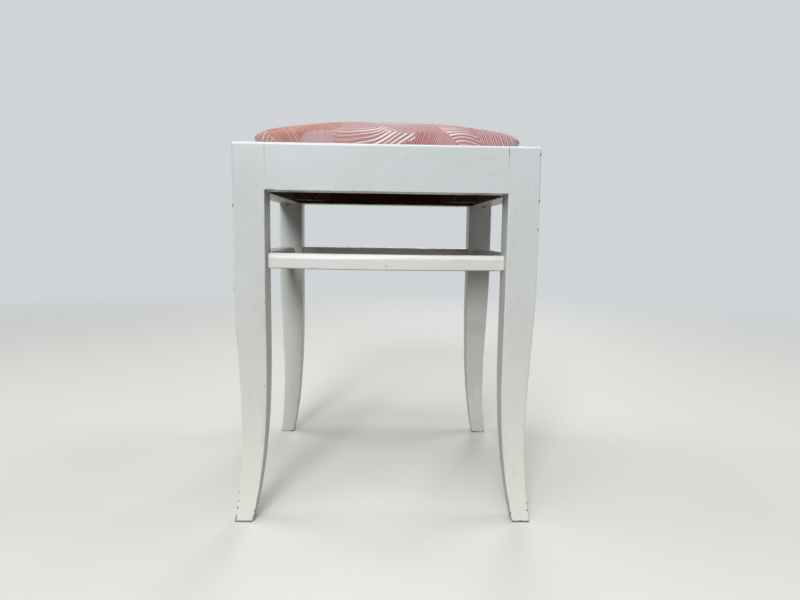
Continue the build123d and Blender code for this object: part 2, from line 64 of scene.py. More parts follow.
class Graph:
    """The nodes of one material or world, made and linked by short calls."""

    def __init__(self, owner):
        owner.use_nodes = True
        self.owner = owner
        self.tree = owner.node_tree
        self.tree.nodes.clear()

    def node(self, kind, inputs=None, **settings):
        made = self.tree.nodes.new(kind)
        for key, value in settings.items():
            setattr(made, key, value)
        for key, value in (inputs or {}).items():
            self.put(made.inputs[key], value)
        return made

    def put(self, socket, value):
        if isinstance(value, bpy.types.NodeSocket):
            self.tree.links.new(value, socket)
        else:
            socket.default_value = value

    def math(self, operation, a, b=0.0, c=0.0):
        made = self.node("ShaderNodeMath", operation=operation)
        for socket, value in zip(made.inputs, (a, b, c)):
            self.put(socket, value)
        return made.outputs[0]

    def times(self, *values):
        product = values[0]
        for value in values[1:]:
            product = self.math("MULTIPLY", product, value)
        return product

    def plus(self, *values):
        total = values[0]
        for value in values[1:]:
            total = self.math("ADD", total, value)
        return total

    def minus(self, a, b):
        return self.math("SUBTRACT", a, b)

    def size(self, value):
        return self.math("ABSOLUTE", value)

    def larger(self, a, b):
        return self.math("MAXIMUM", a, b)

    def smaller(self, a, b):
        return self.math("MINIMUM", a, b)

    def above(self, value, limit):
        return self.math("GREATER_THAN", value, limit)

    def vector(self, operation, a, b=(0.0, 0.0, 0.0)):
        made = self.node("ShaderNodeVectorMath", operation=operation)
        self.put(made.inputs[0], a)
        self.put(made.inputs[1], b)
        return made.outputs["Value" if operation in ("DOT_PRODUCT", "LENGTH") else "Vector"]

    def scaled(self, vector, factor):
        return self.vector("MULTIPLY", vector, (factor, factor, factor))

    def split(self, vector):
        made = self.node("ShaderNodeSeparateXYZ", {0: vector})
        return made.outputs[0], made.outputs[1], made.outputs[2]

    def join(self, x, y, z=0.0):
        return self.node("ShaderNodeCombineXYZ", {0: x, 1: y, 2: z}).outputs[0]

    def noise(self, vector, scale, detail=2.0, roughness=0.5):
        inputs = {"Vector": vector, "Scale": scale, "Detail": detail, "Roughness": roughness}
        return self.node("ShaderNodeTexNoise", inputs).outputs["Fac"]

    def wander(self, vector, scale, detail):
        """Noise of three parts, each about 0."""
        inputs = {"Vector": vector, "Scale": scale, "Detail": detail}
        noise = self.node("ShaderNodeTexNoise", inputs).outputs["Color"]
        return self.vector("SUBTRACT", noise, (0.5, 0.5, 0.5))

    def step(self, value, low, high):
        """0 at low and 1 at high, smooth between. Either may be the larger."""
        inputs = {"Value": value, "From Min": low, "From Max": high}
        made = self.node("ShaderNodeMapRange", inputs, interpolation_type="SMOOTHSTEP")
        return made.outputs["Result"]

    def remap(self, value, low, high, to_low, to_high):
        inputs = {"Value": value, "From Min": low, "From Max": high}
        inputs.update({"To Min": to_low, "To Max": to_high})
        return self.node("ShaderNodeMapRange", inputs).outputs["Result"]

    def mix(self, factor, a, b):
        made = self.node("ShaderNodeMix", data_type="RGBA")
        for key, value in (("Factor_Float", factor), ("A_Color", a), ("B_Color", b)):
            self.put(next(s for s in made.inputs if s.identifier == key), value)
        return next(s for s in made.outputs if s.identifier == "Result_Color")

    def tint(self, colour, mask, share, tone):
        """The colour, with a share of another tone where the mask is 1."""
        return self.mix(self.times(mask, share), colour, tone)

    def curve(self, value, points):
        """Smooth function of a value from 0 to 1 through the points."""
        made = self.node("ShaderNodeFloatCurve", {"Value": value})
        line = made.mapping.curves[0]
        made.mapping.use_clip = False
        line.points[0].location = points[0]
        line.points[1].location = points[-1]
        for x, y in points[1:-1]:
            line.points.new(x, y)
        made.mapping.update()
        return made.outputs[0]

    def place(self):
        return self.node("ShaderNodeTexCoord").outputs["Object"]

    def normal(self):
        return self.node("ShaderNodeNewGeometry").outputs["True Normal"]

    def bump(self, height, distance, normal=None):
        inputs = {"Height": height, "Distance": distance}
        if normal is not None:
            inputs["Normal"] = normal
        return self.node("ShaderNodeBump", inputs).outputs[0]

    def principled(self, **inputs):
        named = {key.replace("_", " "): value for key, value in inputs.items()}
        return self.node("ShaderNodeBsdfPrincipled", named).outputs[0]

    def blend(self, factor, a, b):
        """Shader a where the factor is 0 and b where it is 1."""
        return self.node("ShaderNodeMixShader", {0: factor, 1: a, 2: b}).outputs[0]

    def show(self, shader, output="ShaderNodeOutputMaterial"):
        self.node(output, {0: shader})

    def surface(self, **inputs):
        self.show(self.principled(**inputs))
        return self.owner


def new_material(name):
    """Empty graph of a new material."""
    return Graph(bpy.data.materials.new(name))


def rgb(red, green, blue):
    """A colour given as it looks on a screen, 0 to 255."""
    linear = [(c / 255 + 0.055) / 1.055 for c in (red, green, blue)]
    return tuple(c**2.4 for c in linear) + (1.0,)


def along(axis, run, across):
    """Scale of a texture stretched along one axis: features run metres long and across metres wide."""
    return tuple(1 / run if a == axis else 1 / across for a in range(3))


def streaks(graph, place, axis, run, across, detail=2.0, roughness=0.5):
    """Noise drawn out along one axis."""
    stretched = graph.vector("MULTIPLY", place, along(axis, run, across))
    return graph.noise(stretched, 1.0, detail, roughness)


# Bare wood

WOOD_DARK, WOOD_LIGHT = rgb(32, 16, 9), rgb(82, 45, 25)
WOOD_PORE, WOOD_STAIN = rgb(22, 12, 8), rgb(40, 20, 12)


def bare_wood_colour(graph, place, axis):
    """Dark stained timber: streaked grain, pores and patchy stain."""
    grain = streaks(graph, place, axis, 90 * MM, 3.5 * MM, 5.0, 0.62)
    pores = streaks(graph, place, axis, 12 * MM, 0.6 * MM)
    stain = graph.noise(place, 22.0, 3.0, 0.55)
    colour = graph.mix(graph.step(grain, 0.35, 0.68), WOOD_DARK, WOOD_LIGHT)
    colour = graph.tint(colour, graph.step(pores, 0.58, 0.7), 0.6, WOOD_PORE)
    colour = graph.tint(colour, graph.step(stain, 0.4, 0.7), 0.45, WOOD_STAIN)
    return colour, grain


def bare_wood(name, axis):
    graph = new_material(name)
    colour, grain = bare_wood_colour(graph, graph.place(), axis)
    return graph.surface(
        Base_Color=colour,
        Roughness=graph.remap(grain, 0.3, 0.7, 0.62, 0.78),
        Specular_IOR_Level=0.3,
        Normal=graph.bump(grain, 0.15 * MM),
    )


# Distances from the edges of legs and rails, along which the paint wears

# Heights at which a leg is measured, closer together where it sweeps out to the foot
LEG_LEVELS = np.concatenate([np.linspace(0.003, 0.11, 8), np.linspace(0.13, 0.30, 6), [0.36, 0.40]])
# The outer and the inner face lie this far out, and up to one unit more, so that a curve from 0 to 1 holds them
LEG_FACE_BASES = (0.17, 0.14)
LEG_FACE_UNIT = 0.05


def leg_profile(node):
    """Outer and inner face of a leg at its levels, as distances from the middle of the stool."""
    mesh = nodes[node].data
    points = np.array([v.co for v in mesh.vertices])
    ends = np.array([e.vertices[:] for e in mesh.edges])
    low, high = points[ends[:, 0]], points[ends[:, 1]]
    outer, inner = [], []
    for level in LEG_LEVELS:
        crossing = (low[:, Z] - level) * (high[:, Z] - level) < 0
        a, b = low[crossing], high[crossing]
        share = (level - a[:, Z]) / (b[:, Z] - a[:, Z])
        x = np.abs(a[:, X] + (b[:, X] - a[:, X]) * share)
        outer.append(x.max())
        inner.append(x.min())
    return outer, inner


def leg_edge_distance(graph, place):
    """Distance of a point on a leg from the nearest of its long edges."""
    x, y, z = graph.split(place)
    level = graph.math("DIVIDE", z, RIM)
    faces = []
    for base, distances in zip(LEG_FACE_BASES, leg_profile("front_right_leg")):
        points = [(h / RIM, (d - base) / LEG_FACE_UNIT) for h, d in zip(LEG_LEVELS, distances)]
        faces.append(graph.math("MULTIPLY_ADD", graph.curve(level, points), LEG_FACE_UNIT, base))
    outer, inner = faces
    insets = []
    for side in (x, y):
        reach = graph.size(side)
        insets.append(graph.smaller(graph.minus(outer, reach), graph.minus(reach, inner)))
    return graph.larger(*insets)


def rail_edge_distance(graph, place, axis):
    """Distance of a point on a seat rail from the nearest of its long outer edges."""
    sides = graph.split(place)
    depth = graph.minus(HALF, graph.size(sides[1 - axis]))
    upper_edge = graph.larger(depth, graph.minus(RIM, sides[Z]))
    lower_edge = graph.larger(depth, graph.minus(sides[Z], RAIL_BOTTOM))
    return graph.smaller(upper_edge, lower_edge)


# Knocks in the paint: middle and half sizes along x, y and z, in millimetres
KNOCKS = {
    "leg": [
        ((-179.5, -180.0, 385.0), (1.3, 1.3, 2.8)),
        ((-179.8, -180.0, 286.0), (1.2, 1.2, 2.8)),
        ((-175.4, -176.0, 169.0), (1.2, 1.2, 3.6)),
        ((-176.4, -177.0, 225.0), (0.9, 0.9, 1.4)),
        ((179.3, -180.0, 449.0), (1.5, 1.5, 2.1)),
        ((179.6, -180.0, 408.0), (0.9, 0.9, 4.0)),
        ((179.4, -180.0, 395.0), (1.5, 1.5, 2.7)),
        ((179.2, -180.0, 362.0), (0.7, 0.7, 2.8)),
        ((-143.2, -180.0, 272.0), (1.0, 1.0, 1.6)),
        ((-145.6, -175.0, 169.0), (0.8, 0.8, 1.0)),
        ((-176.6, -176.5, 36.0), (1.2, 1.2, 1.8)),
        ((-178.0, -177.5, 26.0), (1.5, 1.5, 2.2)),
        ((-178.8, -178.5, 17.0), (1.7, 1.7, 2.8)),
        ((-170.2, -179.0, 13.6), (1.0, 1.0, 1.0)),
        ((-181.6, -181.0, 5.5), (2.2, 2.2, 5.0)),
        ((155.4, -178.5, 19.0), (1.3, 1.3, 1.8)),
        ((175.8, -176.0, 38.0), (1.4, 1.4, 1.8)),
        ((177.8, -178.0, 23.0), (1.5, 1.5, 2.0)),
        ((178.8, -179.0, 14.5), (1.7, 1.7, 2.0)),
        ((171.0, -181.4, 1.2), (4.0, 3.0, 1.6)),
        ((162.5, -181.4, 1.0), (2.6, 3.0, 1.4)),
        ((-166.0, 142.5, 400.8), (3.6, 1.5, 1.6)),
        ((167.0, 142.5, 401.4), (3.4, 1.5, 1.6)),
    ],
    "rail": [
        ((21.0, -180.0, 442.0), (0.5, 0.7, 0.8)),
        ((-124.7, -180.0, 430.5), (0.5, 0.7, 0.5)),
        ((-137.0, -179.4, 403.3), (7.5, 1.6, 0.9)),
        ((142.2, -180.0, 451.0), (0.7, 1.4, 6.5)),
    ],
    "bar": [
        ((0.3, -184.0, 316.4), (0.5, 1.2, 1.6)),
        ((141.0, -168.4, 312.0), (1.5, 2.0, 0.9)),
    ],
}
KNOCK_RAGGED = 1.6 * MM


def knocked(graph, place, knocks):
    """Mask of the listed knocks, with ragged outlines."""
    ragged = graph.scaled(graph.wander(place, 700.0, 2.0), KNOCK_RAGGED)
    moved = graph.vector("ADD", place, ragged)
    mask = None
    for middle, sizes in knocks:
        away = graph.vector("SUBTRACT", moved, tuple(m * MM for m in middle))
        away = graph.vector("MULTIPLY", away, tuple(1 / (s * MM) for s in sizes))
        depth = graph.minus(1.0, graph.vector("LENGTH", away))
        mask = depth if mask is None else graph.larger(mask, depth)
    return graph.step(mask, 0.0, 0.25)


# Paint

PAINT, PAINT_SHADE = rgb(213, 219, 221), rgb(204, 209, 209)
BROAD_MARK, FINE_MARK = rgb(204, 208, 205), rgb(199, 201, 195)
FLOOR_LIT_PAINT = rgb(243, 242, 231)        # painted light: paler on the stretchers and down the legs, as if lit from the floor below
FLOOR_LIT_FROM, FLOOR_LIT_TO = 0.42, 0.02       # heights between which that painted light grows on the legs
SMUDGE, SPECK = rgb(190, 194, 192), rgb(160, 150, 132)
# a painted highlight along the edges, and the brown of worn edges
EDGE_HIGHLIGHT, WORN = rgb(242, 239, 224), rgb(190, 170, 130)
SCRAPED_DARK, SCRAPED_LIGHT = rgb(66, 48, 35), rgb(104, 82, 62)
CRACK = rgb(104, 88, 64)


def coat(graph, place, axis, kind):
    """Colour of the coat, and its fine and broad brush marks."""
    fine = streaks(graph, place, axis, 70 * MM, 1.2 * MM)
    broad = streaks(graph, place, axis, 160 * MM, 7 * MM, 2.0, 0.55)
    cloud = graph.noise(place, 9.0, 3.0, 0.55)
    colour = graph.mix(graph.step(cloud, 0.3, 0.7), PAINT, PAINT_SHADE)
    colour = graph.tint(colour, graph.step(broad, 0.5, 0.8), 0.22, BROAD_MARK)
    colour = graph.tint(colour, graph.step(fine, 0.55, 0.8), 0.1, FINE_MARK)
    # painted light: the stretchers and the lower legs paler and creamier, as if lit from the floor
    if kind == "bar":
        colour = graph.mix(0.45, colour, FLOOR_LIT_PAINT)
    else:
        lower = graph.step(graph.split(place)[Z], FLOOR_LIT_FROM, FLOOR_LIT_TO)
        colour = graph.tint(colour, lower, 0.85, FLOOR_LIT_PAINT)
    smudges = streaks(graph, place, axis, 45 * MM, 11 * MM, 3.0, 0.6)
    colour = graph.tint(colour, graph.step(smudges, 0.56, 0.78), 0.3, SMUDGE)
    specks = graph.noise(place, 190.0, 1.0, 0.4)
    colour = graph.tint(colour, graph.step(specks, 0.775, 0.80), 0.25, SPECK)
    return colour, fine, broad


def inside_seat(graph, place):
    """Mask of what is left unpainted: inner faces of the seat rails and the ledge of their rebate."""
    x, y, z = graph.split(place)
    normal = graph.normal()
    facing = graph.vector("DOT_PRODUCT", normal, graph.join(x, y))
    ragged = graph.times(graph.noise(place, 60.0, 2.0, 0.6), 3 * MM)
    inwards = graph.step(facing, -0.05, -0.09)
    over_bottom = graph.step(graph.minus(z, ragged), RAIL_BOTTOM - 1.2 * MM, RAIL_BOTTOM + 0.2 * MM)
    under_rim = graph.step(graph.plus(z, ragged), RIM - 3 * MM, RIM - 4 * MM)
    upwards = graph.step(graph.split(normal)[Z], 0.7, 0.9)
    ledge = graph.times(upwards, graph.step(z, RIM - 8 * MM, RIM - 12 * MM))
    return graph.larger(graph.times(inwards, over_bottom, under_rim), ledge)


def paint(name, axis, kind):
    """Brushed off-white satin paint over dark wood, chipped on the edges, bare inside the seat rails."""
    graph = new_material(name)
    place = graph.place()
    z = graph.split(place)[Z]
    colour, fine, broad = coat(graph, place, axis, kind)
    to_joint = graph.minus(LEG_INNER, graph.size(graph.split(place)[axis]))

    # chips along the edges, more of them at the feet
    patches = graph.noise(place, 420.0, 3.0, 0.6)
    spread = graph.noise(place, 36.0, 2.0, 0.5)
    amount = graph.plus(graph.times(spread, 0.5), graph.times(patches, 0.5))
    if kind == "leg":
        edge = leg_edge_distance(graph, place)
        amount = graph.plus(amount, graph.times(graph.step(z, 60 * MM, 0.0), 0.09))
    elif kind == "rail":
        edge = rail_edge_distance(graph, place, axis)
    else:
        edge = graph.plus(graph.times(to_joint, 0.5), 1.1 * MM)
    chip = graph.times(graph.step(amount, 0.635, 0.655), graph.step(edge, 1.7 * MM, 1.2 * MM))
    chip = graph.larger(chip, knocked(graph, place, KNOCKS[kind]))
    # a patchy dark band along the bottom of the feet, drawn with the chips
    if kind == "leg":
        sole = graph.times(graph.step(z, 2.8 * MM, 1.3 * MM), graph.step(spread, 0.25, 0.5))
        chip = graph.larger(chip, sole)

    # a painted highlight along the edges, then edges worn brown, then down to the wood
    if kind != "bar":
        highest = RAIL_BOTTOM if kind == "leg" else RIM - 6 * MM
        below = graph.step(z, highest + 2 * MM, highest - 2 * MM)
        edge_highlight = graph.times(graph.step(edge, 1.5 * MM, 0.9 * MM), below)
        colour = graph.tint(colour, edge_highlight, 0.6, EDGE_HIGHLIGHT)
    worn = graph.times(graph.step(edge, 0.8 * MM, 0.4 * MM), graph.step(spread, 0.5, 0.72))
    colour = graph.tint(colour, worn, 0.5, WORN)
    scraped = graph.mix(graph.step(patches, 0.45, 0.6), SCRAPED_DARK, SCRAPED_LIGHT)
    colour = graph.tint(colour, chip, 0.85, scraped)
    bare = graph.times(chip, 0.5)

    if kind != "bar":
        inside = inside_seat(graph, place)
        wood, _ = bare_wood_colour(graph, place, axis)
        colour = graph.mix(inside, colour, wood)
        bare = graph.larger(bare, inside)
    if kind != "leg":
        # paint cracked along the joint with the leg
        crack = graph.step(to_joint, 0.6 * MM, 0.25 * MM)
        if kind == "rail":
            crack = graph.times(crack, graph.step(z, RAIL_BOTTOM, RIM), 0.6)
        colour = graph.tint(colour, crack, 0.6, CRACK)

    brushed = graph.bump(graph.plus(graph.times(fine, 0.35), graph.times(broad, 0.65)), 0.05 * MM)
    return graph.surface(
        Base_Color=colour,
        Roughness=graph.plus(graph.remap(broad, 0.3, 0.7, 0.3, 0.4), graph.times(bare, 0.35)),
        Specular_IOR_Level=graph.remap(bare, 0.0, 1.0, 0.5, 0.12),
        Normal=graph.bump(graph.minus(1.0, bare), 0.12 * MM, brushed),
    )


def dress(node, material):
    """Give a carried-over solid its finish."""
    slots = nodes[node].data.materials
    slots.clear()
    slots.append(material)


leg_paint = paint("leg_paint", Z, "leg")
rail_paint = {X: paint("rail_paint_across", X, "rail"), Y: paint("rail_paint_deep", Y, "rail")}
bar_paint = {X: paint("bar_paint_across", X, "bar"), Y: paint("bar_paint_deep", Y, "bar")}
block_wood = {X: bare_wood("bare_wood_across", X), Y: bare_wood("bare_wood_deep", Y)}

for end in ("front", "back"):
    for side in ("left", "right"):
        dress(f"{end}_{side}_leg", leg_paint)
        dress(f"{end}_{side}_corner_block", block_wood[X])
for axis, sides in ((X, ("front", "back")), (Y, ("left", "right"))):
    for side in sides:
        dress(f"{side}_rail", rail_paint[axis])
        dress(f"{side}_stretcher", bar_paint[axis])
        dress(f"seat_frame_{side}", block_wood[axis])


# Fasteners


def steel(name, colour, worn):
    """Fastener steel, dulled and spotted with rust."""
    graph = new_material(name)
    place = graph.place()
    spots = graph.step(graph.noise(place, 900.0, 3.0, 0.6), 0.5, 0.68)
    scratch = graph.noise(graph.vector("MULTIPLY", place, (300.0, 2600.0, 2600.0)), 1.0)
    return graph.surface(
        Base_Color=graph.tint(colour, spots, 0.5, worn),
        Metallic=0.9,
        Roughness=graph.remap(scratch, 0.3, 0.7, 0.32, 0.55),
        Normal=graph.bump(scratch, 0.02 * MM),
    )


dress("corner_block_screws", steel("screw_steel", rgb(150, 146, 138), rgb(92, 66, 48)))
tack_steel = steel("tack_steel", rgb(62, 64, 72), rgb(70, 50, 40))
for tacks in ("webbing_tacks", "bottom_tacks"):
    dress(tacks, tack_steel)


# Cloth


def mesh_piece(name, points, faces, material):
    """A smooth-shaded mesh object."""
    mesh = bpy.data.meshes.new(name)
    mesh.from_pydata([tuple(p) for p in points], [], faces)
    mesh.update()
    mesh.shade_smooth()
    mesh.materials.append(material)
    piece = bpy.data.objects.new(name, mesh)
    bpy.context.scene.collection.objects.link(piece)
    return piece


def plain_weave(graph, cloth, pitch):
    """Height of an over-and-under weave of round threads, 0 to 1."""
    u, v, _ = graph.split(graph.scaled(cloth, math.pi / pitch))
    warp = graph.size(graph.math("SINE", u))
    weft = graph.size(graph.math("SINE", v))
    checks = graph.times(graph.math("COSINE", u), graph.math("COSINE", v))
    over = graph.step(checks, -0.2, 0.2)
    return graph.plus(graph.times(warp, over), graph.times(weft, graph.minus(1.0, over)))


SLUB = 30 * MM      # length of the thicker runs of a thread


def woven(name, pitch, dark, light, roughness):
    """Plain woven cloth with slubs and a little fading."""
    graph = new_material(name)
    place = graph.place()
    weave = plain_weave(graph, place, pitch)
    slubs = graph.plus(*(streaks(graph, place, axis, SLUB, pitch) for axis in (X, Y)))
    fade = graph.noise(place, 14.0, 3.0, 0.6)
    # the weave lighter on the crowns of its threads and darker between them, partly painted shade; slubs and
    # fading are the yarn's own tone
    tone = graph.plus(graph.times(weave, 0.45), graph.times(slubs, 0.3), graph.times(fade, 0.25))
    return graph.surface(
        Base_Color=graph.mix(graph.step(tone, 0.25, 0.95), dark, light),
        Roughness=roughness,
        Sheen_Weight=0.15,
        Normal=graph.bump(weave, 0.35 * pitch),
    )


# Cushion

PAD_EDGE = 3 * MM              # upright edge above the rim
PAD_RISE = 35.7 * MM           # crown above that edge, before the stuffing presses the cover out
PAD_SWELL = 3 * MM             # furthest that a point of the cover is pressed out
PAD_OVERHANG = 2.8 * MM        # swell of the sides over the rim
PAD_POWER = 3.6                # fullness of the shoulders
PAD_ROOT = 1 / 3.3             # steepness of the edge
PAD_CORNER = 12 * MM
# Share of the overhang at heights over the rim, in millimetres
OVERHANG_HEIGHTS = (1.0, 2.5, 5.0, 8.0, 14.0, 20.0, 27.0)
OVERHANG_SHARES = (0.0, 0.12, 0.7, 1.0, 0.75, 0.28, 0.0)
GRID = 96                      # quads across the top
EDGE_CROWDING = 0.65           # how far the rings of the grid draw together towards the edge, 0 to 1
RUN_STEPS = 200                # straight steps in which a run of cloth is measured
SIDE_ROWS = 7
SIDE_FOOT = 1.5 * MM           # where the sides start to turn under
# Rows of the turned-under hem: inset from the side and height over the bottom
HEM_ROWS = ((1.2 * MM, 0.3 * MM), (4 * MM, 0.0), (12 * MM, 0.0), (24 * MM, 0.0))


def outline(count, half, corner):
    """Points round a square with rounded corners, from the middle of the right side, count to each quarter."""
    straight = half - corner
    arc = corner * math.pi / 2
    quarter = []
    for i in range(count):
        run = (2 * straight + arc) * i / count
        if run < straight:
            quarter.append((half, run))
        elif run < straight + arc:
            turn = (run - straight) / corner
            quarter.append((straight + corner * math.cos(turn), straight + corner * math.sin(turn)))
        else:
            quarter.append((2 * straight + arc - run, half))
    ring = []
    for c, s in ((1, 0), (0, 1), (-1, 0), (0, -1)):
        ring += [(c * px - s * py, s * px + c * py) for px, py in quarter]
    return np.array(ring)


def crown(x, y):
    """Height of the cushion over its edge."""
    fall_x = 1 - np.minimum(np.abs(x) / SEAT_HALF, 1) ** PAD_POWER
    fall_y = 1 - np.minimum(np.abs(y) / SEAT_HALF, 1) ** PAD_POWER
    return PAD_RISE * (fall_x * fall_y) ** PAD_ROOT


def swollen(x, y, z):
    """Point of the cushion moved outwards where its sides swell over the rim."""
    swell = np.interp((z - RIM) / MM, OVERHANG_HEIGHTS, OVERHANG_SHARES)
    scale = 1 + PAD_OVERHANG * swell / SEAT_HALF
    return x * scale, y * scale, z


def cloth_run(x, y):
    """Length of cloth from the middle of the cushion to a point, over the crown along x."""
    shares = 1 - (1 - np.linspace(0, 1, RUN_STEPS)) ** 2
    xs = x[:, None] * shares[None, :]
    zs = crown(xs, np.repeat(y[:, None], len(shares), axis=1))
    steps = np.hypot(np.diff(xs, axis=1), np.diff(zs, axis=1))
    return np.sign(x) * steps.sum(axis=1)


def cushion_plan():
    """Points of the top in plan, a square grid drawn into a rounded square, and their numbers in the grid."""
    ring = outline(GRID, SEAT_HALF, PAD_CORNER)
    plan = []
    index = {}
    for i in range(GRID + 1):
        for j in range(GRID + 1):
            s, t = 2 * i / GRID - 1, 2 * j / GRID - 1
            shell = max(abs(s), abs(t))
            index[i, j] = len(plan)
            if shell == 0:
                plan.append((0.0, 0.0))
                continue
            if s == shell:
                share = t / shell / 8
            elif t == shell:
                share = 0.25 - s / shell / 8
            elif s == -shell:
                share = 0.5 - t / shell / 8
            else:
                share = 0.75 + s / shell / 8
            walk = (share % 1.0) * len(ring)
            a, b = int(walk) % len(ring), (int(walk) + 1) % len(ring)
            spread = (1 - EDGE_CROWDING) * shell + EDGE_CROWDING * math.sin(shell * math.pi / 2)
            plan.append((ring[a] + (ring[b] - ring[a]) * (walk - int(walk))) * spread)
    return np.array(plan), index


def cushion_mesh():
    """Closed cushion: crowned top, upright sides and the hem under it, with places on the flat cloth."""
    plan, index = cushion_plan()
    x, y = plan[:, 0], plan[:, 1]
    top = RIM + PAD_EDGE
    points = [tuple(p) for p in np.column_stack([plan, top + crown(x, y)])]
    flats = [tuple(p) for p in np.column_stack([cloth_run(x, y), cloth_run(y, x)])]
    faces = []
    for i in range(GRID):
        for j in range(GRID):
            faces.append((index[i, j], index[i + 1, j], index[i + 1, j + 1], index[i, j + 1]))
    loop = [index[GRID, j] for j in range(GRID)]
    loop += [index[i, GRID] for i in range(GRID, 0, -1)]
    loop += [index[0, j] for j in range(GRID, 0, -1)]
    loop += [index[i, 0] for i in range(GRID)]

    foot = SEAT_BOTTOM + SIDE_FOOT
    rows = [(0.0, top - (top - foot) * k / SIDE_ROWS) for k in range(1, SIDE_ROWS + 1)]
    rows += [(inset, SEAT_BOTTOM + height) for inset, height in HEM_ROWS]
    edge = np.array([points[k] for k in loop])
    edge_flat = np.array([flats[k] for k in loop])
    outwards = edge_flat / np.abs(edge_flat).max(axis=1, keepdims=True)
    previous = loop
    for inset, height in rows:
        scale = 1 - inset / SEAT_HALF
        current = list(range(len(points), len(points) + len(loop)))
        points += [(px * scale, py * scale, height) for px, py, _ in edge]
        flats += [tuple(p) for p in edge_flat + outwards * (top - height + inset)]
        for k in range(len(loop)):
            faces.append((previous[k - 1], current[k - 1], current[k], previous[k]))
        previous = current
    points = [swollen(*p) for p in points]
    centre = len(points)
    points.append((0.0, 0.0, SEAT_BOTTOM))
    flats.append((0.0, 0.0))
    faces += [(previous[k - 1], centre, previous[k]) for k in range(len(loop))]
    return points, faces, flats


ROSE, DEEP_ROSE, CORAL = rgb(183, 127, 119), rgb(155, 87, 85), rgb(166, 100, 94)
MAUVE, DUSK = rgb(180, 152, 158), rgb(130, 82, 88)
CREAM, PALE_MAUVE, WHITE = rgb(216, 192, 170), rgb(210, 190, 194), rgb(245, 242, 243)
# the first is a painted sheen and shade on the top of the crown, the second the shade of the weave
CROWN_SHEEN, WEAVE_SHADE = rgb(160, 120, 103), rgb(122, 76, 72)
# Grounds of the patches: each from this pick on, with this share over what lies under it
GROUNDS = ((0.35, CORAL, 0.5), (0.55, MAUVE, 0.8), (0.85, DEEP_ROSE, 0.8))
BOLD_FROM = 0.64                    # pick from which a patch has bold white lines
PATCH_SIZE = 68 * MM
ARC_CENTRE = 1.3 * PATCH_SIZE       # from the middle of a patch to the centre of its arcs
BOLD_PITCH, FINE_PITCH = 4.6 * MM, 2.5 * MM
RIB_PITCH = 0.75 * MM
PRINT_SHIFT = (7.2, 3.3, 0.0)       # chooses the part of the endless print that lies on the seat


